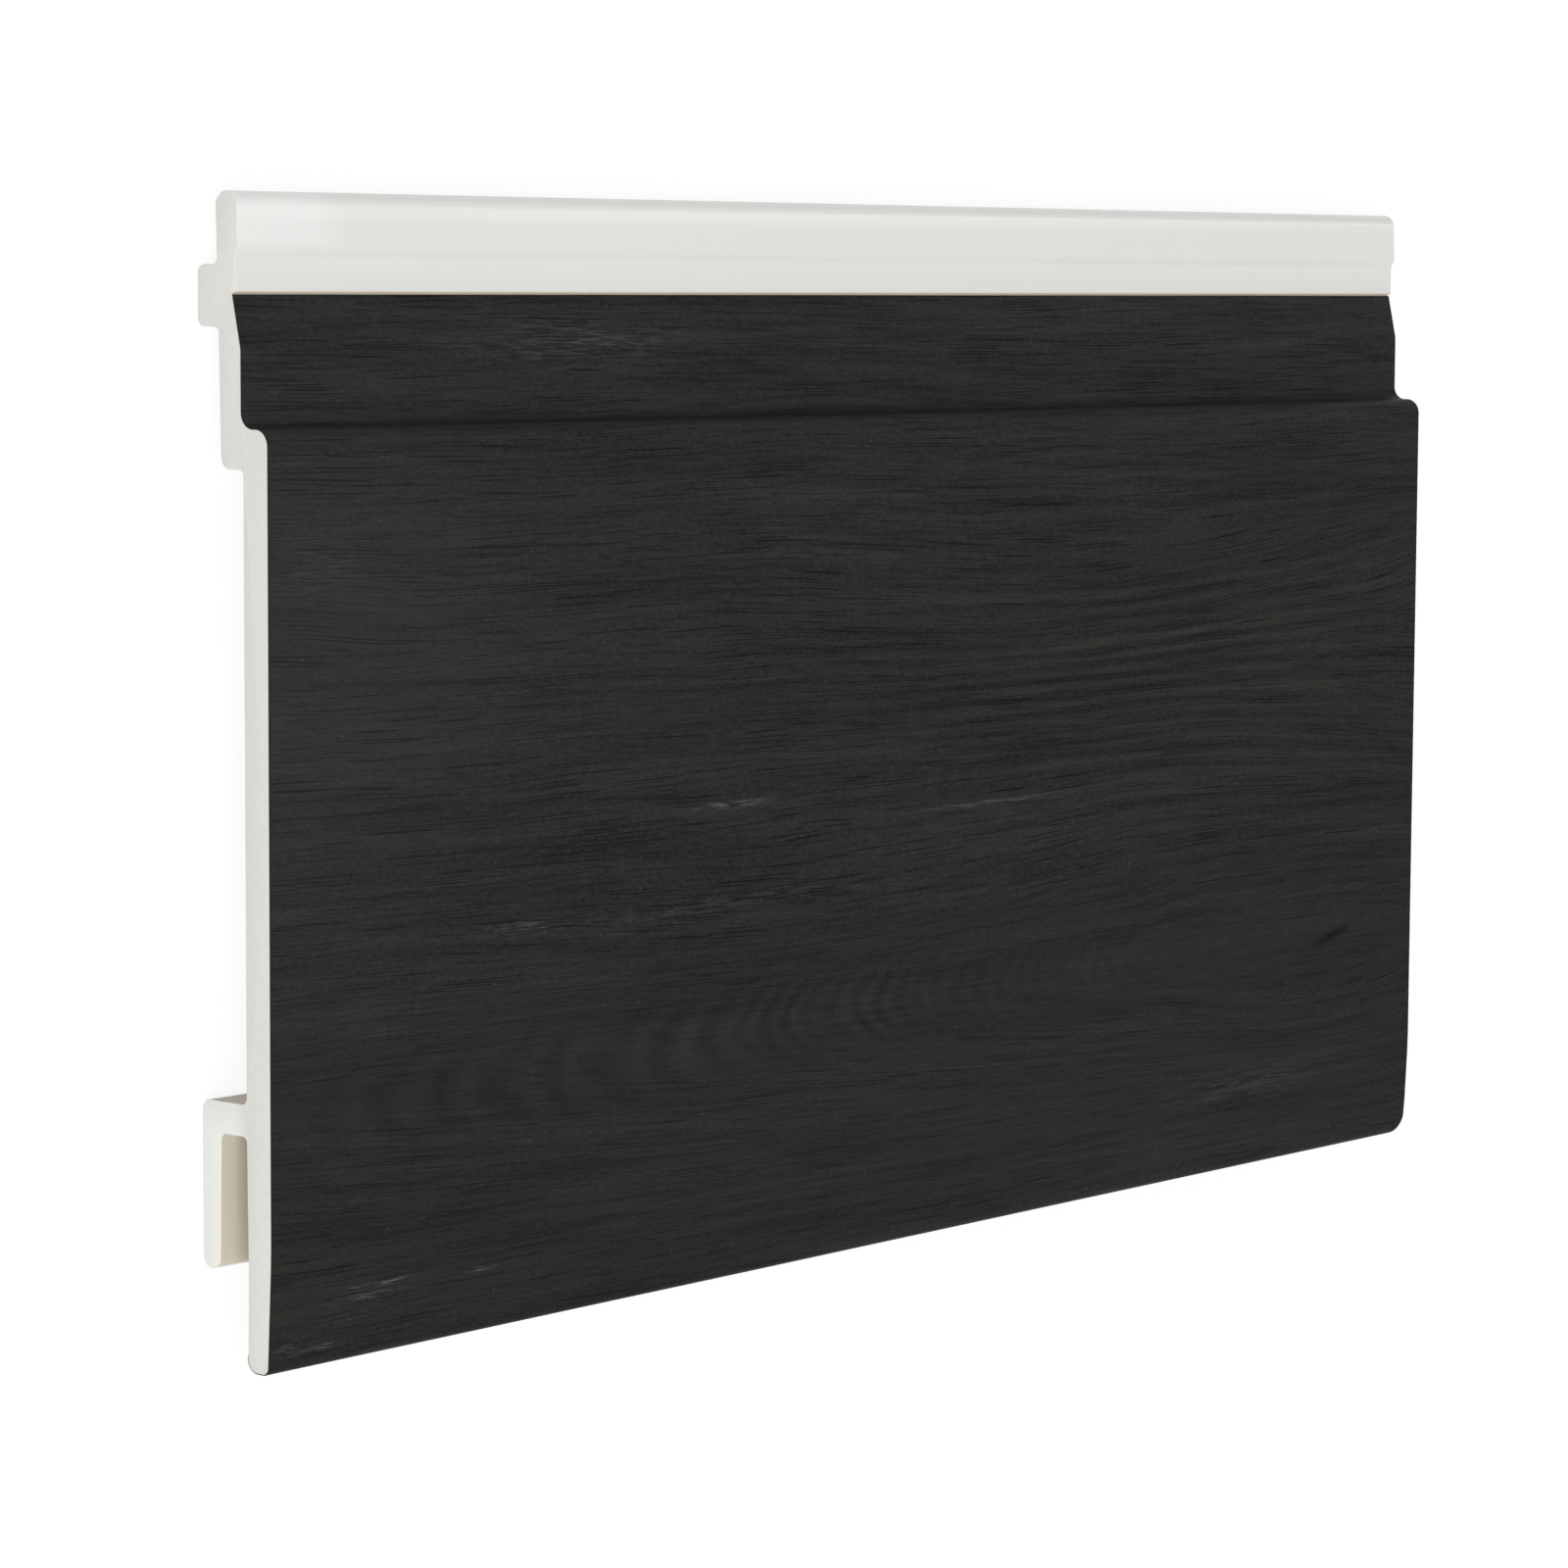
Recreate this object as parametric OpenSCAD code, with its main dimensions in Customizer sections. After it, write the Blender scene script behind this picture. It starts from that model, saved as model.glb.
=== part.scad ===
// Shadow gap cladding board: an extruded cellular PVC board with a woodgrain foil on its face.
// The board lies face up. X runs along its length, Y runs up the wall from the nose to the lip,
// and Z runs out from the wall to the face. The sizes below are in millimetres, and every height
// is counted along Y from the tip of the nose.

/* [Board] */
// Length of the sawn piece
board_length = 336; // [60:1:5000]
// Depth from the wall to the face of the foil
board_depth = 16.8; // [15.5:0.1:22]
// Height of the face, from the tip of the nose to the top of the shoulder
face_height = 158.4; // [110:0.1:320]
// Thickness of the wall behind the face, with the foil
wall_thickness = 6; // [4.5:0.1:6.6]
// Thickness of the woodgrain foil
foil_thickness = 0.25; // [0.1:0.05:0.5]

/* [Nose] */
// Height over which the nose leans back
nose_height = 20; // [12:0.5:30]
// How far the front of the nose leans back
nose_lean = 0.9; // [0:0.1:1.5]
// Radius of the nose's front edge
nose_front_radius = 1.5; // [0.8:0.1:2]
// Radius of the nose's rear edge
nose_rear_radius = 2.4; // [0.8:0.1:2.6]
// How far the foil wraps up the rear of the nose
foil_wrap = 3; // [2.8:0.1:8]
// Clearance between the nose and the shadow gap of the board below
nose_clearance = 0.2; // [0.1:0.1:0.8]

/* [Shadow gap] */
// Height of the gap that shows between this board and the next
visible_gap = 10.2; // [6:0.1:20]
// Depth of the gap behind the face
gap_depth = 6.3; // [5.9:0.1:7]
// Height of the flat of the gap, from the shoulder to the foot of the slope
gap_flat = 13; // [6:0.1:18]
// Thickness of the web behind the gap
gap_web = 5.5; // [4:0.1:6.5]
// How much the web thins from the nib down to the step
web_taper = 0.5; // [0:0.1:1]
// Thickness of the shoulder, from its top to the step behind it
shoulder_thickness = 6.9; // [6:0.1:12]
// Radius of the shoulder's front edge
shoulder_radius = 3; // [0.8:0.1:3.2]
// Radius of the inner corner of the gap
gap_radius = 2.6; // [0.8:0.1:3]

/* [Fixing edge] */
// Height of the slope, from its foot to the ledge at the foil's upper edge
slope_height = 9.2; // [6:0.1:14]
// How far the slope falls back towards the wall
slope_fall = 2; // [0.8:0.1:3]
// Bare strip between the foil's upper edge and the ledge
foil_margin = 0.3; // [0.2:0.05:1]
// How far the fixing face stands out from the foot of the ledge
ledge_depth = 0.75; // [0.4:0.05:1.2]
// Height of the fixing face, from the ledge to the root of the lip
fixing_height = 5.8; // [4:0.1:14]
// Height of the ramp at the root of the lip
lip_ramp = 1.4; // [1:0.1:2]
// Radius of the soft edges of the ramp
ramp_radius = 1; // [0.3:0.1:1]
// Height of the lip above its ramp
lip_height = 9.6; // [6:0.1:14]
// Thickness of the lip
lip_thickness = 5.1; // [5:0.1:5.6]
// How far the lip leans back towards the wall
lip_lean = 0.3; // [0:0.1:0.6]
// Radius of the lip's top edges
lip_radius = 2.45; // [0.8:0.05:2.5]
// Height of the nib that bears on the wall
nib_height = 10.3; // [6:0.1:14]
// Radius of the nib's edges
nib_radius = 1.5; // [0.5:0.1:2.4]

/* [Hook] */
// Height of the tip of the hook's leg
leg_tip = 16.7; // [10:0.1:24]
// Height of the top of the slot between the leg and the wall
slot_top = 40; // [32:0.1:52]
// Thickness of the hook's arm
arm_thickness = 5.5; // [3.6:0.1:9]
// Thickness of the leg where it leaves the arm
leg_thickness = 4.6; // [3:0.1:5]
// How much the leg thins towards its tip
leg_taper = 0.4; // [0:0.1:0.8]
// How much the slot widens on the wall's side towards its mouth
slot_flare = 0.3; // [0:0.1:0.6]
// Clearance between the leg and the lip of the board below
hook_clearance = 0.1; // [0.1:0.1:1]
// Radius of the arm's outer edge
arm_radius = 2; // [0.5:0.1:3]

/* [Rounding] */
// Radius of the fillets in the inner corners behind the board
fillet_radius = 1.1; // [0.4:0.1:1.4]
// Radius of the small edges of the fixing face
edge_radius = 0.25; // [0.1:0.05:0.3]

/* [Hidden] */

// Largest angle between two points of an arc
arc_step = 9;
// Radius of the soft bend where the nose leans away from the face and from the slot
bend_radius = 90;

// Places of the bare core's faces, counted out from the wall
core_face = board_depth - foil_thickness;
wall_back = board_depth - wall_thickness;
gap_face = core_face - gap_depth;
slope_top_face = gap_face - slope_fall;
fixing_face = slope_top_face + ledge_depth;
web_back = gap_face + foil_thickness - gap_web;
nose_front = core_face - nose_lean;
nose_back = gap_face + 2 * foil_thickness + nose_clearance;
slot_mouth = wall_back + slot_flare;
leg_tip_front = leg_thickness - leg_taper;
lip_back = leg_thickness + hook_clearance;
lip_front = lip_back + lip_thickness;

// Heights above the tip of the nose
nose_tip = foil_thickness;
shoulder_top = face_height - foil_thickness;
step_bottom = face_height - shoulder_thickness;
slope_foot = face_height + gap_flat;
ledge = slope_foot + slope_height;
lip_root = ledge + fixing_height;
lip_top = lip_root + lip_ramp + lip_height;
arm_top = slot_top + arm_thickness;

// The leg of the board above stands on the nib, and the nose then leaves the visible gap open
cover_height = face_height + visible_gap;
nib_top = cover_height + leg_tip;
nib_bottom = nib_top - nib_height;

// Where the foil starts on the rear of the nose, and where it stops on the slope
wrap_share = (foil_wrap - nose_tip) / (leg_tip - nose_tip);
foil_start = [foil_wrap, nose_back + wrap_share * (slot_mouth - nose_back)];
margin_share = 1 - foil_margin / slope_height;
foil_end = [slope_foot + margin_share * slope_height, gap_face - margin_share * slope_fall];

// The outline of the core under the foil, from the rear of the nose up to the slope.
// Each corner is a height, a distance out from the wall and a radius.
foiled_side = [
    [foil_start.x, foil_start.y, 0],
    [nose_tip, nose_back, nose_rear_radius - foil_thickness],
    [nose_tip, nose_front, nose_front_radius - foil_thickness],
    [nose_height, core_face, bend_radius],
    [shoulder_top, core_face, shoulder_radius - foil_thickness],
    [shoulder_top, gap_face, gap_radius + foil_thickness],
    [slope_foot, gap_face, gap_radius * 2],
    [foil_end.x, foil_end.y, 0],
];

// The bare rest of the outline, from the ledge over the lip and down the rear to the slot
bare_side = [
    [ledge, slope_top_face, 0],
    [ledge, fixing_face, edge_radius],
    [lip_root, fixing_face, ramp_radius],
    [lip_root + lip_ramp, lip_front, ramp_radius],
    [lip_top, lip_front - lip_lean, lip_radius],
    [lip_top, lip_back - lip_lean, lip_radius],
    [nib_top, lip_back, fillet_radius],
    [nib_top, 0, nib_radius],
    [nib_bottom, 0, nib_radius],
    [nib_bottom, web_back, fillet_radius],
    [step_bottom, web_back + web_taper, arm_radius],
    [step_bottom, wall_back, fillet_radius],
    [arm_top, wall_back, fillet_radius],
    [arm_top, 0, arm_radius],
    [leg_tip, 0, leg_tip_front / 2 - edge_radius / 2],
    [leg_tip, leg_tip_front, leg_tip_front / 2 - edge_radius / 2],
    [slot_top, leg_thickness, fillet_radius],
    [slot_top, wall_back, fillet_radius],
    [leg_tip, slot_mouth, bend_radius],
];

// Flat position of a corner
function place(corner) = [corner[0], corner[1]];

// Direction from one place to another, of length 1
function towards(from, to) = (to - from) / norm(to - from);

// A vector turned by an angle
function turned(v, angle) = [v.x * cos(angle) - v.y * sin(angle), v.x * sin(angle) + v.y * cos(angle)];

// The points that round a corner off, on the way from the corner before it to the one after it
function rounded(before, corner, after) =
    let(
        tip = place(corner),
        radius = corner[2],
        back = towards(tip, place(before)),
        on = towards(tip, place(after)),
        bend = 180 - acos(back * on),
        hand = cross(back, on) < 0 ? 1 : -1,
        first = tip + back * radius * tan(bend / 2),
        centre = tip + (back + on) / norm(back + on) * radius / cos(bend / 2),
        pieces = max(1, ceil(bend / arc_step))
    )
    radius == 0
        ? [tip]
        : [for (i = [0 : pieces]) centre + turned(first - centre, hand * bend * i / pieces)];

// The points of an open line of corners
function open_line(corners) = [
    place(corners[0]),
    for (i = [1 : len(corners) - 2]) each rounded(corners[i - 1], corners[i], corners[i + 1]),
    place(corners[len(corners) - 1]),
];

// The points of a closed outline of corners
function closed_line(corners) =
    let(count = len(corners))
    [for (i = [0 : count - 1])
        each rounded(corners[(i + count - 1) % count], corners[i], corners[(i + 1) % count])];

// The outward direction of the line between two corners
function outward(from, to) = turned(towards(place(from), place(to)), 90);

// An open line of corners moved outward: outer edges get a larger radius and inner corners a smaller one
function moved_out(corners, distance) =
    let(last = len(corners) - 1)
    [for (i = [0 : last])
        let(
            n_in = i == 0 ? outward(corners[0], corners[1]) : outward(corners[i - 1], corners[i]),
            n_out = i == last ? n_in : outward(corners[i], corners[i + 1]),
            to = place(corners[i]) + (n_in + n_out) / (1 + n_in * n_out) * distance,
            radius = corners[i][2],
            change = cross(n_in, n_out) < 0 ? distance : -distance
        )
        [to.x, to.y, radius == 0 ? 0 : radius + change]];

function reversed(points) = [for (i = [len(points) - 1 : -1 : 0]) points[i]];

// An outline of heights and distances from the wall, extruded along the board and centred
module extruded(points) {
    translate([-board_length / 2, -lip_top / 2, 0])
        rotate([90, 0, 90])
            linear_extrude(board_length)
                polygon(points);
}

// The white extruded board, in one piece
module board_core() {
    color("#e0e0db")
        extruded(closed_line(concat(foiled_side, bare_side)));
}

// The dark foil that is laminated to the face
module woodgrain_foil() {
    color("#2c2e2f")
        extruded(concat(
            open_line(moved_out(foiled_side, foil_thickness)),
            reversed(open_line(foiled_side))
        ));
}

board_core();
woodgrain_foil();
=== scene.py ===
# Shadow gap cladding board: a short sawn sample, lying face up on a pale floor.
import math

import bpy
import numpy as np
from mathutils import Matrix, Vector


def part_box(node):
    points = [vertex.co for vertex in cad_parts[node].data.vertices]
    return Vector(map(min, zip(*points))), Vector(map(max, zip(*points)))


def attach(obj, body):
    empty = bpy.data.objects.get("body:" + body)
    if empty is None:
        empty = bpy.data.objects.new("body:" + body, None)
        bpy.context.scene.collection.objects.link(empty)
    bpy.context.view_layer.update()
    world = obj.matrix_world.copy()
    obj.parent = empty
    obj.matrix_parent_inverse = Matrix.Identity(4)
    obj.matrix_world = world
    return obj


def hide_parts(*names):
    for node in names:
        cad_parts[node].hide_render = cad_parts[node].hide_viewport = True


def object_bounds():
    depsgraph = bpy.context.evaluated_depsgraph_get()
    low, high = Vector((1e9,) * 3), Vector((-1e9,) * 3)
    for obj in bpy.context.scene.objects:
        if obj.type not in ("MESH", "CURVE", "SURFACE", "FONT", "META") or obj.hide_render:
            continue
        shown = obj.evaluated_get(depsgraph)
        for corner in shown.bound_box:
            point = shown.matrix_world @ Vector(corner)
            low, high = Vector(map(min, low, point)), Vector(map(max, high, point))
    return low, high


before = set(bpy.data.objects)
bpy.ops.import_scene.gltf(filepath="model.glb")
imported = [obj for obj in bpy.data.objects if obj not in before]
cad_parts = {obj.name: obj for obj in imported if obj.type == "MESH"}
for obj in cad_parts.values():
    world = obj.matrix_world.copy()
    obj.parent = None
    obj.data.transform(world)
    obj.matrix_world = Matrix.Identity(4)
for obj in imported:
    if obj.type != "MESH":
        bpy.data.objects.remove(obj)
cad_low, cad_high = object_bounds()

# White board
# One extruded length of cellular PVC, white all through. Its skin is smooth and satin from the die,
# and the two sawn ends show the fine foam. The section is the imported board's own, read at its left
# end, and is swept along the length again with fine sawn edges and one worn corner.


def sawn_outline(node):
    """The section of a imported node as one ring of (y, z) points, counter-clockwise seen from +X."""
    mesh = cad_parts[node].data
    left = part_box(node)[0].x
    places = [(round(v.co.y, 6), round(v.co.z, 6)) for v in mesh.vertices]
    on_end = [abs(v.co.x - left) < 1e-6 for v in mesh.vertices]
    edges = set()
    for face in mesh.polygons:
        ring = list(face.vertices)
        if all(on_end[i] for i in ring):
            edges |= {(places[a], places[b]) for a, b in zip(ring, ring[1:] + ring[:1])}
    following = {a: b for a, b in edges if (b, a) not in edges}
    outline = [min(following)]
    while following[outline[-1]] != outline[0]:
        outline.append(following[outline[-1]])
    ring = np.array(outline)
    after = np.roll(ring, -1, axis=0)
    twice_area = np.sum(ring[:, 0] * after[:, 1] - ring[:, 1] * after[:, 0])
    return ring if twice_area > 0 else ring[::-1]


def outward_normals(outline):
    """The outward direction at each point of a counter-clockwise ring."""
    along = np.roll(outline, -1, axis=0) - outline
    along /= np.linalg.norm(along, axis=1, keepdims=True)
    sides = np.stack([along[:, 1], -along[:, 0]], axis=1)
    both = sides + np.roll(sides, 1, axis=0)
    return both / np.linalg.norm(both, axis=1, keepdims=True)


def sawn_stations(step):
    """Pairs of a place along the board and how far the section draws in there, round at both ends."""
    length = cad_high.x - cad_low.x
    round_end = [(EDGE * (1 - math.sin(a)), EDGE * (1 - math.cos(a)))
                 for a in np.radians([90, 60, 30, 0])]
    left = round_end + [(2 * EDGE, 0)]
    right = [(length - x, draw) for x, draw in reversed(left)]
    corner = [(length - CORNER * (1 - math.sin(a)), 0) for a in np.radians([0, 12, 24, 36, 48, 58, 66])]
    plain = length - 2 * EDGE - CORNER
    pieces = math.ceil(plain / step)
    inner = [(2 * EDGE + plain * i / pieces, 0) for i in range(1, pieces)]
    return [(cad_low.x + x, draw) for x, draw in left + inner + corner + right]


def at_corner(x, ring):
    """A section at a place along the board, drawn up where the nose's right corner is worn round."""
    past = max(x - cad_high.x + CORNER, 0)
    rise = CORNER - math.sqrt(max(CORNER ** 2 - past ** 2, 0))
    height = ring[:, 0] - cad_low.y
    drawn = np.where(height < 2 * CORNER, rise + height * (1 - rise / (2 * CORNER)), height)
    return np.stack([cad_low.y + drawn, ring[:, 1]], axis=1)


def new_piece(name, points, faces, flat_faces):
    """An object of smooth faces with crisp edges, whose end faces stay flat."""
    mesh = bpy.data.meshes.new(name)
    mesh.from_pydata(points, [], faces)
    mesh.shade_smooth()
    for i in flat_faces:
        mesh.polygons[i].use_smooth = False
    mesh.set_sharp_from_angle(angle=math.radians(40))
    piece = bpy.data.objects.new(name, mesh)
    bpy.context.scene.collection.objects.link(piece)
    return piece


def swept_board(name, outline, bare, stations):
    """A closed mesh of a section swept along the board, drawn in at the ends where the board is bare."""
    normals = outward_normals(outline)
    count = len(outline)
    points = []
    for x, draw in stations:
        points += [(x, y, z) for y, z in at_corner(x, outline - normals * (bare * draw)[:, None])]
    faces = [tuple(range(count))[::-1], tuple(range(len(points) - count, len(points)))]
    for k in range(len(stations) - 1):
        for i in range(count):
            j = (i + 1) % count
            faces.append((k * count + i, k * count + j, (k + 1) * count + j, (k + 1) * count + i))
    return new_piece(name, points, faces, (0, 1))


def resampled(outline, longest):
    """The same ring with points added, so that no side is longer than asked."""
    points = []
    for a, b in zip(outline, np.roll(outline, -1, axis=0)):
        pieces = max(1, math.ceil(np.linalg.norm(b - a) / longest))
        points += [a + (b - a) * i / pieces for i in range(pieces)]
    return np.array(points)


def add_node(tree, kind, inputs=(), **settings):
    """A new node, with its settings, and with values or links in its sockets."""
    made = tree.nodes.new(kind)
    for name, value in settings.items():
        setattr(made, name, value)
    for socket, value in dict(inputs).items():
        if isinstance(value, bpy.types.NodeSocket):
            tree.links.new(value, made.inputs[socket])
        else:
            made.inputs[socket].default_value = value
    return made


def maths(tree, operation, *values, clamp=False):
    """The output of a Math node on up to three numbers or sockets."""
    made = add_node(tree, "ShaderNodeMath", enumerate(values), operation=operation, use_clamp=clamp)
    return made.outputs[0]


def product(tree, first, *others):
    """The product of values."""
    for value in others:
        first = maths(tree, "MULTIPLY", first, value)
    return first


def spread(tree, value, low, high, to_low=0.0, to_high=1.0):
    """A value moved smoothly from one range to another."""
    inputs = {"Value": value, "From Min": low, "From Max": high, "To Min": to_low, "To Max": to_high}
    return add_node(tree, "ShaderNodeMapRange", inputs, interpolation_type="SMOOTHSTEP").outputs[0]


def blended(tree, share, first, second):
    """A mix of two colours."""
    return add_node(tree, "ShaderNodeMix", {0: share, 6: first, 7: second}, data_type="RGBA").outputs[2]


def noise(tree, place, stretch, detail=2.0, roughness=0.5):
    """A noise from 0 to 1 whose grains are 1 / stretch long on each axis."""
    scaled = add_node(tree, "ShaderNodeVectorMath", {0: place, 1: stretch}, operation="MULTIPLY").outputs[0]
    inputs = {"Vector": scaled, "Scale": 1.0, "Detail": detail, "Roughness": roughness}
    return add_node(tree, "ShaderNodeTexNoise", inputs).outputs["Fac"]


def bumped(tree, height, distance, strength, normal=None):
    """A normal that shows a height as relief, on top of another normal where one is given."""
    inputs = {"Height": height, "Distance": distance, "Strength": strength}
    if normal is not None:
        inputs["Normal"] = normal
    return add_node(tree, "ShaderNodeBump", inputs).outputs[0]


def paint(red, green, blue):
    """A colour given in the 0 to 255 numbers of a picture, as the shader takes it."""
    parts = [c / 255 for c in (red, green, blue)]
    return tuple(c / 12.92 if c < 0.04045 else ((c + 0.055) / 1.055) ** 2.4 for c in parts) + (1.0,)


def new_material(name):
    """A node material and its Principled shader."""
    material = bpy.data.materials.new(name)
    material.use_nodes = True
    return material, material.node_tree, material.node_tree.nodes["Principled BSDF"]


def sawn_end_group():
    """A mask that is 1 at the two sawn ends and fades out over a width, all in millimetres."""
    group = bpy.data.node_groups.new("sawn_end", "ShaderNodeTree")
    group.interface.new_socket("Width", in_out="INPUT", socket_type="NodeSocketFloat")
    group.interface.new_socket("Ragged", in_out="INPUT", socket_type="NodeSocketFloat")
    group.interface.new_socket("Mask", in_out="OUTPUT", socket_type="NodeSocketFloat")
    given = group.nodes.new("NodeGroupInput").outputs
    place = add_node(group, "ShaderNodeTexCoord").outputs["Object"]
    x = add_node(group, "ShaderNodeSeparateXYZ", {0: place}).outputs[0]
    from_middle = maths(group, "ABSOLUTE", x)
    half = (cad_high.x - cad_low.x) / 2
    inwards = maths(group, "MULTIPLY", maths(group, "SUBTRACT", half, from_middle), 1000.0)
    fray = maths(group, "SUBTRACT", noise(group, place, (1500, 1500, 1500)), 0.5)
    frayed = maths(group, "MULTIPLY_ADD", fray, given["Ragged"], inwards)
    mask = spread(group, frayed, 0.0, given["Width"], 1.0, 0.0)
    add_node(group, "NodeGroupOutput", {"Mask": mask})
    return group


def rounded_places(ring):
    """The places of a section's points, rounded so that two sections can be compared."""
    return [(round(y, 6), round(z, 6)) for y, z in ring]


# the broken sawn edges, the worn corner, and the longest steps round and along the section, in metres
EDGE = 0.00012
CORNER = 0.0038
SECTION_STEP = 0.004
BOARD_STEP = 0.006
under_foil = set(rounded_places(sawn_outline("woodgrain_foil")))
board_ring = resampled(sawn_outline("board_core"), SECTION_STEP)
# the core is drawn in at the ends only where it is bare, and not next to the foil
bare = np.array([place not in under_foil for place in rounded_places(board_ring)], dtype=float)
for i in range(len(bare)):
    if any(place in under_foil for place in rounded_places(board_ring[[i - 1, (i + 1) % len(bare)]])):
        bare[i] = 0
white_board = swept_board("white_board", board_ring, bare, sawn_stations(BOARD_STEP))

sawn_end = sawn_end_group()
pvc, tree, skin = new_material("white_pvc")
place = add_node(tree, "ShaderNodeTexCoord").outputs["Object"]
along, up, out = add_node(tree, "ShaderNodeSeparateXYZ", {0: place}).outputs
from_left = maths(tree, "MULTIPLY_ADD", along, 1000.0, -1000 * cad_low.x)
height = maths(tree, "MULTIPLY_ADD", up, 1000.0, -1000 * cad_low.y)
depth = maths(tree, "MULTIPLY", out, 1000.0)
cut = add_node(tree, "ShaderNodeGroup", {"Width": 0.1, "Ragged": 0.0}, node_tree=sawn_end).outputs[0]
clouds = noise(tree, place, (25, 60, 60), 3.0)
foam = noise(tree, place, (900, 900, 900), 3.0, 0.65)
skin_colour = blended(tree, clouds, paint(244, 244, 240), paint(247, 247, 243))

# painted shade makes the fixing strip a shade greyer than the lip, darkest towards the foil, and a painted
# highlight makes a patch near the lip's left end whiter
shade_to_foil = spread(tree, height, 187.4, 181.0, 0.25, 1.0)
strip_shade = product(tree, shade_to_foil, spread(tree, height, 178.0, 180.0))
skin_colour = blended(tree, strip_shade, skin_colour, paint(239, 239, 236))
# painted highlight: the whiter patch stands in for a reflection near the lip's left end
painted_lip_highlight = product(tree, spread(tree, from_left, 26.0, 16.0), spread(tree, height, 187.5, 189.5))
skin_colour = blended(tree, painted_lip_highlight, skin_colour, paint(253, 253, 250))

# painted light: the slot is painted a warm light, as of light bounced inside it, and the top of the arm is
# painted a darker warm shade
slot_height = product(tree, spread(tree, height, 40.5, 39.5), spread(tree, height, 15.0, 17.0))
painted_slot_light = product(tree, slot_height, spread(tree, depth, 2.5, 4.0))
painted_arm_shade = product(tree, spread(tree, height, 44.6, 45.4), spread(tree, height, 47.5, 45.7))
skin_colour = blended(tree, painted_slot_light, skin_colour, paint(225, 217, 201))
skin_colour = blended(tree, painted_arm_shade, skin_colour, paint(176, 160, 138))

# a trace of the foil's primer and glue along the ledge
primer = product(tree, spread(tree, height, 181.05, 180.75), spread(tree, height, 180.0, 180.4))
skin_colour = blended(tree, primer, skin_colour, paint(222, 210, 192))

# the sawn ends show the foam, and painted light makes the end of the thin hook a shade lighter, standing in
# for light coming through it
foam_colour = blended(tree, foam, paint(224, 224, 217), paint(234, 234, 230))
painted_hook_light = product(tree, spread(tree, height, 50.0, 42.0), spread(tree, depth, 11.5, 7.0))
foam_colour = blended(tree, painted_hook_light, foam_colour, paint(243, 243, 238))
colour = blended(tree, cut, skin_colour, foam_colour)

# the lip is a little glossier than the rest and slightly crowned, so that its top edge catches the light
CROWN_HEIGHT = 0.00016
TEXTURE_DEPTH = 0.00008
crown = spread(tree, height, 192.6, 196.2, 1.0, 0.0)
ripple = noise(tree, place, (12, 260, 260), 2.0)
texture = maths(tree, "MULTIPLY_ADD", ripple, 0.25, product(tree, foam, cut))
normal = bumped(tree, texture, TEXTURE_DEPTH, 0.5, bumped(tree, crown, CROWN_HEIGHT, 1.0))
lip_gloss = spread(tree, height, 186.8, 188.2, 0.38, 0.22)
roughness = maths(tree, "MAXIMUM", lip_gloss, product(tree, cut, 0.85))
tree.links.new(colour, skin.inputs["Base Color"])
tree.links.new(roughness, skin.inputs["Roughness"])
tree.links.new(normal, skin.inputs["Normal"])
skin.inputs["Specular IOR Level"].default_value = 0.5
skin.inputs["Subsurface Weight"].default_value = 0.15
skin.inputs["Subsurface Radius"].default_value = (1.0, 0.85, 0.6)
skin.inputs["Subsurface Scale"].default_value = 0.0015
white_board.data.materials.append(pvc)
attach(white_board, "root")
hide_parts("board_core")

# Woodgrain foil
# A printed and embossed PVC foil a quarter of a millimetre thick, laminated to the face from under the
# nose, over the shoulder and through the gap, up the slope. Its print is a smoked oak: dark pores on
# straight growth lines, with one band of chevron figure where the cut passes the heart of the tree.


def divided(line, pieces):
    """An open line with points added on each of its sides."""
    parts = [a + (b - a) * np.arange(n)[:, None] / n for a, b, n in zip(line, line[1:], pieces)]
    return np.concatenate(parts + [line[-1:]])


def wrapped_foil(name, skin_line, glue_line, stations, relief, places):
    """The foil as a closed mesh that keeps each point's place along and across the grain.

    relief gives how deep the skin is embossed at a place along the board, and grain_run keeps the
    millimetres along the board, those round the section, and 0 on the skin or 1 on the glued side.
    """
    count = len(skin_line)
    normals = outward_normals(np.concatenate([skin_line, glue_line[::-1]]))[:count]
    points, runs, faces = [], [], []
    for x, draw in stations:
        along = (x - cad_low.x) * 1000
        skin_points = skin_line - normals * (draw + relief(along))[:, None]
        points += [(x, y, z) for y, z in at_corner(x, np.concatenate([skin_points, glue_line]))]
        runs += [(along, place, side) for side in (0, 1) for place in places]
    for k in range(len(stations) - 1):
        here, there = 2 * count * k, 2 * count * (k + 1)
        for i in range(count - 1):
            faces.append((here + i, here + i + 1, there + i + 1, there + i))
            faces.append((here + count + i + 1, here + count + i, there + count + i, there + count + i + 1))
        faces.append((here + count, here, there, there + count))
        faces.append((here + count - 1, here + 2 * count - 1, there + 2 * count - 1, there + count - 1))
    sides = len(faces)
    for end, turn in ((0, -1), (2 * count * (len(stations) - 1), 1)):
        for i in range(end, end + count - 1):
            faces.append((i, i + 1, i + count + 1, i + count)[::turn])
    piece = new_piece(name, points, faces, range(sides, len(faces)))
    grain_run = piece.data.attributes.new("grain_run", "FLOAT_VECTOR", "POINT")
    grain_run.data.foreach_set("vector", np.array(runs, dtype=np.float32).ravel())
    return piece


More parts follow.
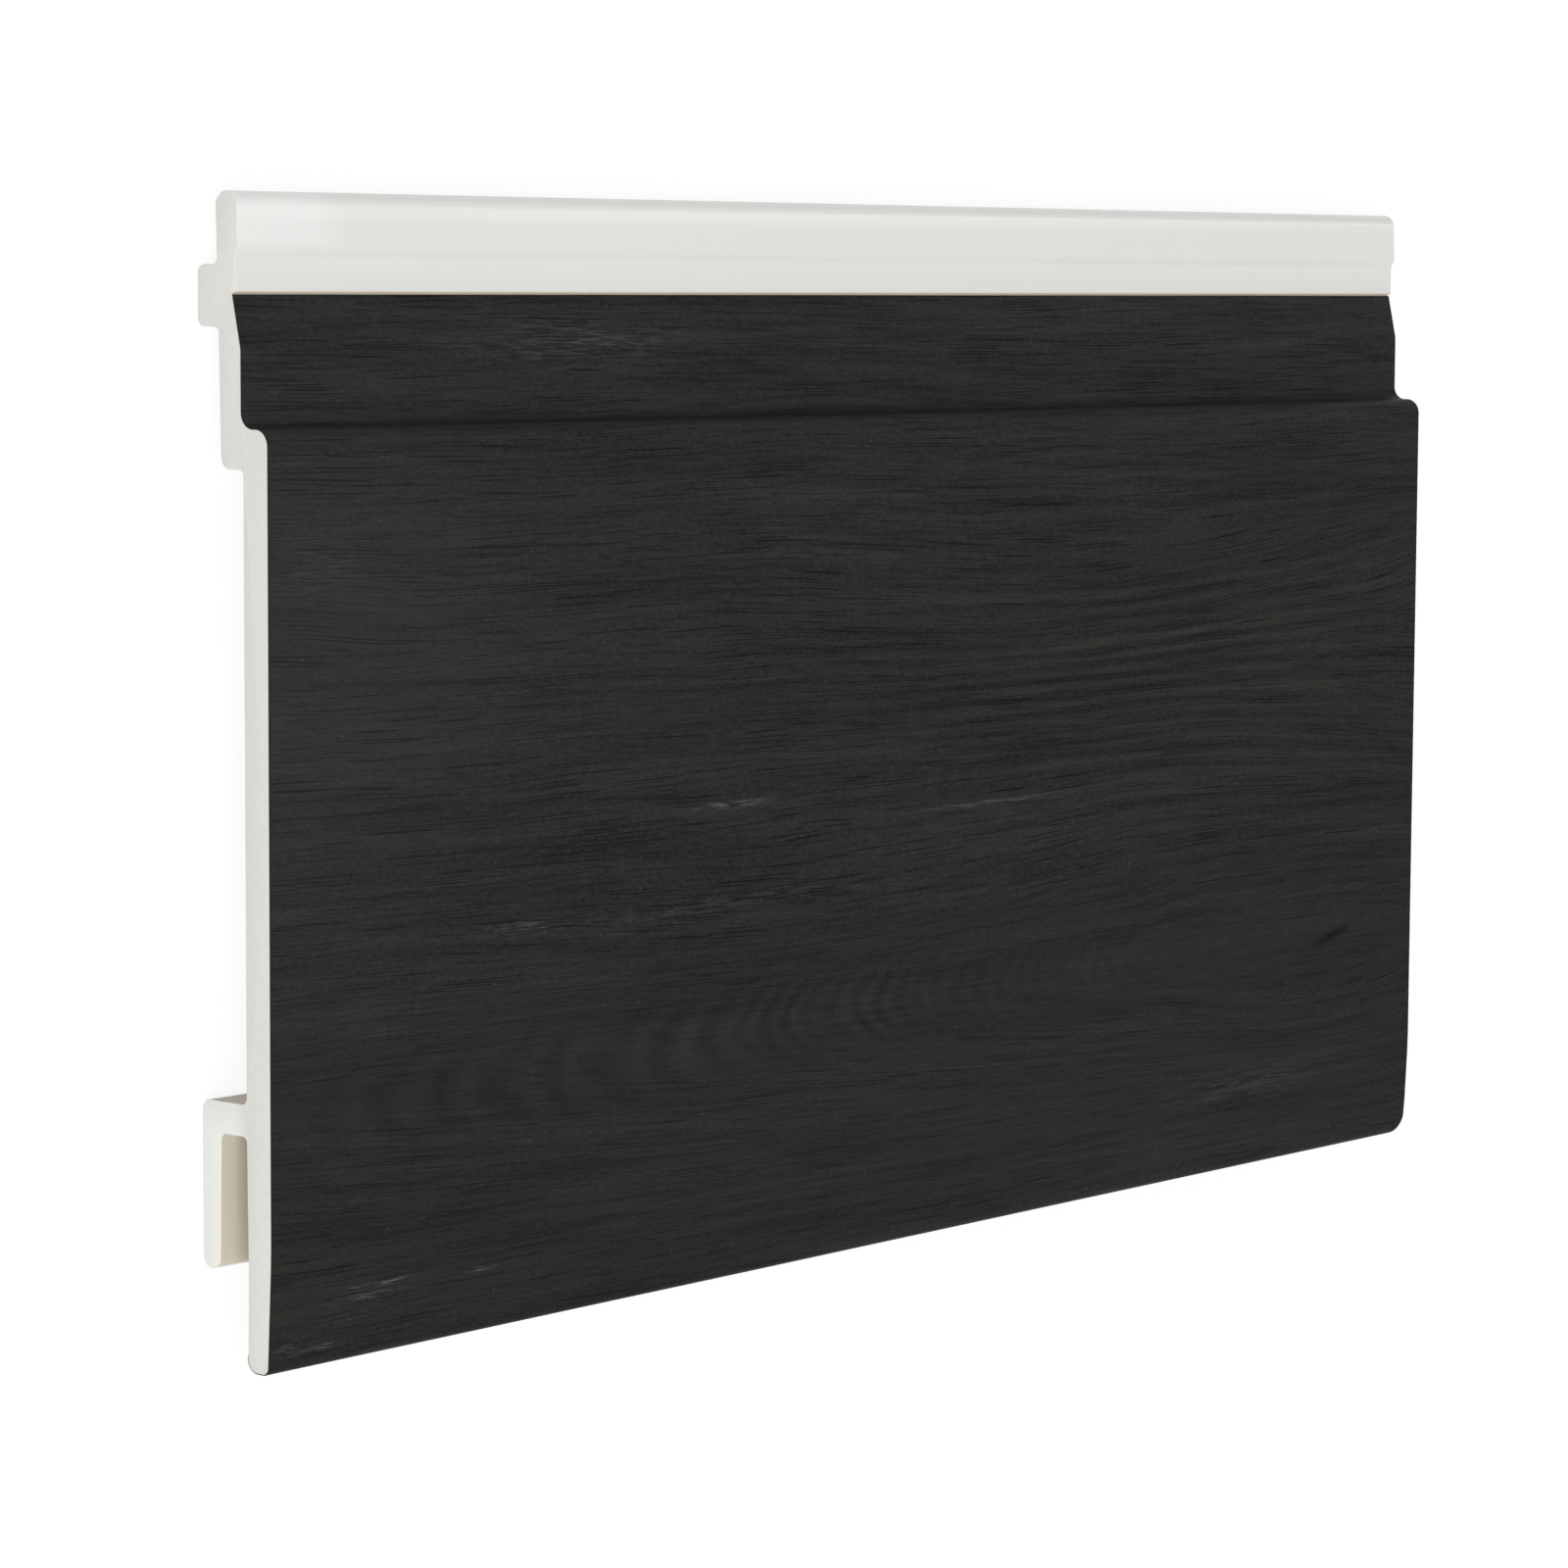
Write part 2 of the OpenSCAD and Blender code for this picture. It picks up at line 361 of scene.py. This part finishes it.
def embossed(places):
    """A function that gives the depth of the rolled-in grain at a place along the board."""
    draw = np.random.default_rng(EMBOSS_SEED)
    waves = [(draw.uniform(1.6, 5.0), draw.uniform(60, 260) * draw.choice((-1, 1)), draw.uniform(0, 6.28))
             for _ in range(EMBOSS_WAVES)]

    def depth_at(along):
        turns = [np.sin(math.tau * (places / across + along / run) + phase) for across, run, phase in waves]
        height = np.sum(turns, axis=0) / math.sqrt(EMBOSS_WAVES)
        return EMBOSS_DEPTH * (0.5 + 0.5 * np.clip(height / EMBOSS_PEAK, -1, 1))
    return depth_at


SKIN_STEP = 0.0008
FOIL_STEP = 0.003
EMBOSS_DEPTH = 0.00003
EMBOSS_WAVES = 12
EMBOSS_PEAK = 1.6
EMBOSS_SEED = 5
foil_ring = sawn_outline("woodgrain_foil")
on_board = set(rounded_places(sawn_outline("board_core")))
glued = np.array([place in on_board for place in rounded_places(foil_ring)])
first = next(i for i in range(len(glued)) if glued[i - 1] and not glued[i])
foil_ring, glued = np.roll(foil_ring, -first, axis=0), np.roll(glued, -first)
skin_line, glue_line = foil_ring[~glued], foil_ring[glued][::-1]
pieces = [max(1, math.ceil(side / SKIN_STEP)) for side in np.linalg.norm(np.diff(skin_line, axis=0), axis=1)]
skin_line, glue_line = divided(skin_line, pieces), divided(glue_line, pieces)

# a point's place round the section is its height above the nose on the face, and runs on round the bends
steps = np.linalg.norm(np.diff(skin_line, axis=0), axis=1)
run = np.concatenate([[0], np.cumsum(steps)]) * 1000
middle = np.argmin(abs(skin_line[:, 0]))
places = (skin_line[middle, 0] - cad_low.y) * 1000 + run[middle] - run
foil = wrapped_foil("woodgrain_foil_skin", skin_line, glue_line, sawn_stations(FOIL_STEP),
                    embossed(places), places)


def streaks(tree, x, line, length, width, detail=2.0, roughness=0.55, shift=0.0):
    """Noise drawn out along the grain, in millimetres, with its rows staggered."""
    staggered = maths(tree, "MULTIPLY_ADD", line, STAGGER * length / width, x)
    place = add_node(tree, "ShaderNodeCombineXYZ", {0: staggered, 1: line, 2: shift}).outputs[0]
    return noise(tree, place, (1 / length, 1 / width, 1.0), detail, roughness)


def bell(tree, x, line, middle, spread_x, spread_y, lean=0.0):
    """A soft oval spot that is 1 in its middle, in millimetres."""
    dx = maths(tree, "SUBTRACT", x, middle[0])
    dy = maths(tree, "MULTIPLY_ADD", dx, -lean, maths(tree, "SUBTRACT", line, middle[1]))
    dx2 = maths(tree, "POWER", maths(tree, "DIVIDE", maths(tree, "ABSOLUTE", dx), spread_x), 2.0)
    dy2 = maths(tree, "POWER", maths(tree, "DIVIDE", maths(tree, "ABSOLUTE", dy), spread_y), 2.0)
    return maths(tree, "EXPONENT", maths(tree, "MULTIPLY", maths(tree, "ADD", dx2, dy2), -1.0))


def past(tree, x, start):
    """The square of the distance past a start in hundreds of millimetres, and 0 before it."""
    beyond = maths(tree, "MAXIMUM", maths(tree, "MULTIPLY_ADD", x, 0.01, -start / 100), 0.0)
    return maths(tree, "MULTIPLY", beyond, beyond)


def weighed(tree, first, *others):
    """The sum of values, each times its weight, on top of a first number."""
    total = first
    for value, weight in others:
        total = maths(tree, "MULTIPLY_ADD", value, weight, total)
    return total


STAGGER = 0.37
dark, tree, skin = new_material("woodgrain_foil")
grain_run = add_node(tree, "ShaderNodeAttribute", attribute_name="grain_run").outputs["Vector"]
x, place_up, side = add_node(tree, "ShaderNodeSeparateXYZ", {0: grain_run}).outputs

# growth lines run nearly straight, and bend and part towards the knot at the right
KNOT = (303.0, 46.5)
parting = bell(tree, x, place_up, KNOT, 40.0, 13.0)
from_knot = maths(tree, "SUBTRACT", place_up, KNOT[1])
under_knot = product(tree, spread(tree, place_up, 49.0, 41.0), spread(tree, place_up, 6.0, 32.0))
dip = weighed(tree, 0.0, (x, 0.07), (past(tree, x, 282.0), -22.5))
fall = product(tree, past(tree, x, 238.0), bell(tree, x, place_up, (300.0, 90.0), 400.0, 15.0))
fan = product(tree, past(tree, x, 250.0), bell(tree, x, place_up, (300.0, 128.0), 400.0, 11.0))
sway = streaks(tree, x, place_up, 120.0, 40.0, 1.0, 0.4)
wobble = streaks(tree, x, place_up, 34.0, 9.0, 1.0, 0.4, 3.7)
line = weighed(tree, place_up, (product(tree, parting, from_knot), -0.22),
               (product(tree, under_knot, dip), 1.0), (fall, 7.5), (fan, -7.8),
               (bell(tree, x, place_up, (130.0, 65.0), 95.0, 16.0), 5.0),
               (bell(tree, x, place_up, (205.0, 121.0), 65.0, 18.0), 4.0),
               (bell(tree, x, place_up, (0.0, 128.0), 30.0, 9.0), -3.0),
               (sway, 4.0), (wobble, 1.4))

# the print along the growth lines, from wide bands down to single fibres
LINE_PITCH = 3.4
wide = streaks(tree, x, line, 80.0, 11.0, 1.0, 0.5, 1.3)
rings = streaks(tree, x, line, 130.0, 2.9, 1.0, 0.5)
bands = streaks(tree, x, line, 40.0, 2.2, 3.0, 0.62, 4.6)
fibres = streaks(tree, x, line, 9.0, 0.4, 2.0, 0.6, 7.1)
speckle = streaks(tree, x, line, 1.1, 0.5, 1.0, 0.5, 6.3)
spacing = weighed(tree, 0.0, (line, math.tau / LINE_PITCH),
                  (streaks(tree, x, line, 110.0, 14.0, 1.0, 0.5, 8.8), 8.0))
even_lines = bell(tree, x, place_up, (250.0, 107.0), 120.0, 30.0)
regular = product(tree, maths(tree, "SINE", spacing), even_lines)

# the chevron figure is a row of arcs across a narrow band, 6 mm apart at the right and 14 at the left
FIGURE = 46.8
LEFT_DROP = 3.4
WIDE_UNTIL = 122.0
from_figure = maths(tree, "SUBTRACT", place_up, spread(tree, x, 60.0, 150.0, FIGURE - LEFT_DROP, FIGURE))
arc = product(tree, maths(tree, "POWER", maths(tree, "ABSOLUTE", from_figure), 1.6), 0.3)
jitter = streaks(tree, x, place_up, 26.0, 40.0, 1.0, 0.5, 5.2)
shiver = streaks(tree, x, place_up, 8.0, 7.0, 1.0, 0.5, 7.7)
bar_x = weighed(tree, maths(tree, "SUBTRACT", x, arc), (jitter, 11.0), (shiver, 4.0))
turns = weighed(tree, maths(tree, "MAXIMUM", bar_x, WIDE_UNTIL),
                (maths(tree, "MINIMUM", bar_x, WIDE_UNTIL), 0.45))
bars = maths(tree, "SINE", turns)
in_figure = bell(tree, x, from_figure, (110.0, 0.0), 125.0, 7.2)
uneven = spread(tree, streaks(tree, x, place_up, 15.0, 30.0, 1.0, 0.5, 3.3), 0.38, 0.58, 0.6, 1.1)
figure = product(tree, bars, uneven, in_figure)

# a painted sheen makes the foil lighter at the left, and short straight grain replaces the growth lines in
# the figure's band
painted_left_sheen = bell(tree, x, place_up, (0.0, 118.0), 58.0, 50.0)
stripes = weighed(tree, -1.875, (rings, 0.7), (bands, 0.9), (fibres, 0.85), (speckle, 1.3), (regular, 0.22))
turning = bell(tree, x, place_up, (180.0, 44.5), 170.0, 5.0)
calm = weighed(tree, 1.0, (spread(tree, place_up, 68.0, 54.0), -0.2), (turning, -0.9), (painted_left_sheen, -0.28))
straight = weighed(tree, -0.5, (streaks(tree, x, place_up, 16.0, 0.9, 3.0, 0.65, 5.9), 1.0))
tone = weighed(tree, 0.43, (wide, 0.44), (product(tree, stripes, calm), 0.9),
               (product(tree, straight, turning), 1.5), (figure, 0.21), (painted_left_sheen, 0.4))

# the light print is cool towards the upper left and warm towards the lower right
patches = streaks(tree, x, place_up, 55.0, 12.0, 2.0, 0.5, 14.2)
to_corner = weighed(tree, -115.0, (x, 0.6), (place_up, -1.2), (patches, 230.0))
warm = spread(tree, to_corner, -140.0, -10.0)
light_print = blended(tree, warm, paint(60.5, 60.5, 63), paint(60.5, 60, 56))
lightness = maths(tree, "MULTIPLY", tone, 0.66, clamp=True)
colour = blended(tree, lightness, paint(25.5, 25.2, 27), light_print)

# dark pores are thin dashes that gather in some places, and the knot is one short leaning stroke
pore_field = streaks(tree, x, line, 22.0, 0.25, 0.0, 0.5, 11.9)
pore_places = streaks(tree, x, line, 30.0, 6.0, 1.0, 0.5, 2.9)
pores = spread(tree, maths(tree, "MULTIPLY_ADD", pore_places, 0.12, pore_field), 0.70, 0.76)
colour = blended(tree, product(tree, pores, calm, 0.6), colour, paint(4, 4, 8))
KNOT_SPOT = (306.5, 45.8)
knot = bell(tree, x, place_up, KNOT_SPOT, 6.0, 1.0, 0.24)
colour = blended(tree, product(tree, knot, 0.75), colour, paint(5, 5, 10))

# handling left a few light smears and specks on the sample: each smear has a middle, a length,
# a width, a lean and a strength
SMEARS = (
    ((115.0, 87.9), 9.0, 0.8, 0.03, 0.7),
    ((192.0, 82.6), 20.0, 0.55, 0.0, 0.42),
    ((60.0, 70.5), 9.0, 1.2, -0.01, 0.3),
    ((115.0, 69.8), 50.0, 1.8, 0.0, 0.17),
    ((25.0, 12.3), 7.0, 0.4, 0.0, 0.9),
    ((22.0, 10.6), 7.0, 0.5, 0.0, 0.6),
    ((50.0, 11.2), 3.0, 0.4, 0.0, 0.6),
    ((11.5, 3.4), 4.0, 0.5, 0.0, 0.6),
    ((4.5, 4.0), 3.0, 1.2, 0.0, 0.4),
    ((278.0, 17.5), 30.0, 3.4, 0.0, 0.15),
    ((80.0, 176.0), 24.0, 4.0, 0.0, 0.25),
    ((12.0, 136.0), 9.0, 5.0, 0.0, 0.16),
)
smears = 0.0
for middle, length, width, lean, strength in SMEARS:
    spot = bell(tree, x, place_up, middle, length, width, lean)
    smears = maths(tree, "MULTIPLY_ADD", spot, strength, smears)
broken = spread(tree, streaks(tree, x, place_up, 5.0, 0.3, 2.0, 0.6, 9.4), 0.47, 0.62)
smeared = maths(tree, "MULTIPLY", smears, broken, clamp=True)
colour = blended(tree, smeared, colour, paint(112, 112, 108))
cells = add_node(tree, "ShaderNodeTexVoronoi", {"Vector": grain_run, "Scale": 0.11},
                 voronoi_dimensions="2D")
speck = spread(tree, cells.outputs["Distance"], 0.024, 0.010)
chance = add_node(tree, "ShaderNodeSeparateColor", {0: cells.outputs["Color"]}).outputs[0]
some = maths(tree, "GREATER_THAN", chance, 0.8)
colour = blended(tree, product(tree, speck, some, 0.5), colour, paint(100, 100, 97))

# the saw left a brown frayed rim, and shows the foil's brown base and pale glue in its thickness
fray = add_node(tree, "ShaderNodeGroup", {"Width": 0.55, "Ragged": 0.5}, node_tree=sawn_end).outputs[0]
colour = blended(tree, product(tree, fray, 0.7), colour, paint(44, 36, 27))
colour = blended(tree, spread(tree, side, 0.3, 0.5), colour, paint(92, 82, 66))
colour = blended(tree, spread(tree, side, 0.55, 0.8), colour, paint(190, 184, 168))

PORE_DEPTH = 0.00005
emboss = weighed(tree, 0.0, (fibres, 0.5), (pores, -1.0))
tree.links.new(colour, skin.inputs["Base Color"])
tree.links.new(spread(tree, bands, 0.3, 0.7, 0.58, 0.48), skin.inputs["Roughness"])
tree.links.new(bumped(tree, emboss, PORE_DEPTH, 0.6), skin.inputs["Normal"])
skin.inputs["Specular IOR Level"].default_value = 0.06
foil.data.materials.append(dark)
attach(foil, "root")
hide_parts("woodgrain_foil")

# Floor
# A plain pale floor under the board, which is white to the camera and keeps the board's soft shadow.

FLOOR_SIZE = 12.0
FLOOR_DROP = 0.0001
FLOOR_GLOW = 0.88
floor_mesh = bpy.data.meshes.new("floor")
half = FLOOR_SIZE / 2
corners = [(-half, -half, 0), (half, -half, 0), (half, half, 0), (-half, half, 0)]
floor_mesh.from_pydata(corners, [], [(0, 1, 2, 3)])
floor = bpy.data.objects.new("floor", floor_mesh)
bpy.context.scene.collection.objects.link(floor)
floor.location.z = -FLOOR_DROP
floor_paint, tree, plain = new_material("floor_paint")
path = add_node(tree, "ShaderNodeLightPath")
seen = maths(tree, "MAXIMUM", path.outputs["Is Camera Ray"], path.outputs["Is Glossy Ray"])
floor_colour = blended(tree, seen, paint(225, 225, 225), paint(112, 112, 112))
tree.links.new(floor_colour, plain.inputs["Base Color"])
plain.inputs["Roughness"].default_value = 0.9
plain.inputs["Specular IOR Level"].default_value = 0.0
glow_strength = product(tree, seen, FLOOR_GLOW)
glow = add_node(tree, "ShaderNodeEmission", {"Color": (1, 1, 1, 1), "Strength": glow_strength})
both = add_node(tree, "ShaderNodeAddShader", {0: plain.outputs[0], 1: glow.outputs[0]})
tree.links.new(both.outputs[0], tree.nodes["Material Output"].inputs["Surface"])
floor_mesh.materials.append(floor_paint)

# Light and camera
# One large soft panel above the camera's side, a small narrow one beyond the right end, which draws the
# bright line on the lip, and a pale even surround. The camera looks down on the lying board from the
# angle at which the photograph shows it standing.


def soft_panel(name, place, width, height, watts):
    """A rectangular area light that faces the board."""
    lamp = bpy.data.lights.new(name, "AREA")
    lamp.shape = "RECTANGLE"
    lamp.size, lamp.size_y = width, height
    lamp.energy = watts
    panel = bpy.data.objects.new(name, lamp)
    panel.location = place
    panel.rotation_euler = (-Vector(place)).to_track_quat("-Z", "Y").to_euler()
    bpy.context.scene.collection.objects.link(panel)


soft_panel("main_panel", (-2.9, -0.75, 3.2), width=2.7, height=2.7, watts=109.0)
soft_panel("rim_panel", (1.54, 0.53, 1.21), width=0.25, height=0.9, watts=1.5)

SURROUND_LIGHT = 0.45
world = bpy.data.worlds.new("surround")
world.use_nodes = True
tree = world.node_tree
path = add_node(tree, "ShaderNodeLightPath")
tree.nodes["Background"].inputs["Color"].default_value = (1, 1, 1, 1)
surround = maths(tree, "MULTIPLY_ADD", path.outputs["Is Camera Ray"], 1 - SURROUND_LIGHT, SURROUND_LIGHT)
tree.links.new(surround, tree.nodes["Background"].inputs["Strength"])
bpy.context.scene.world = world

CAMERA_PLACE = (-0.74452, 0.08483, 0.63023)
CAMERA_TILT = (-6.0147, -48.9891, 0.4478)
CAMERA_LENS = 116.92
camera_lens = bpy.data.cameras.new("camera")
camera_lens.lens = CAMERA_LENS
camera_lens.sensor_width = 36.0
camera = bpy.data.objects.new("camera", camera_lens)
camera.location = CAMERA_PLACE
camera.rotation_euler = [math.radians(a) for a in CAMERA_TILT]
bpy.context.scene.collection.objects.link(camera)
bpy.context.scene.camera = camera
bpy.context.scene.view_settings.view_transform = "Standard"
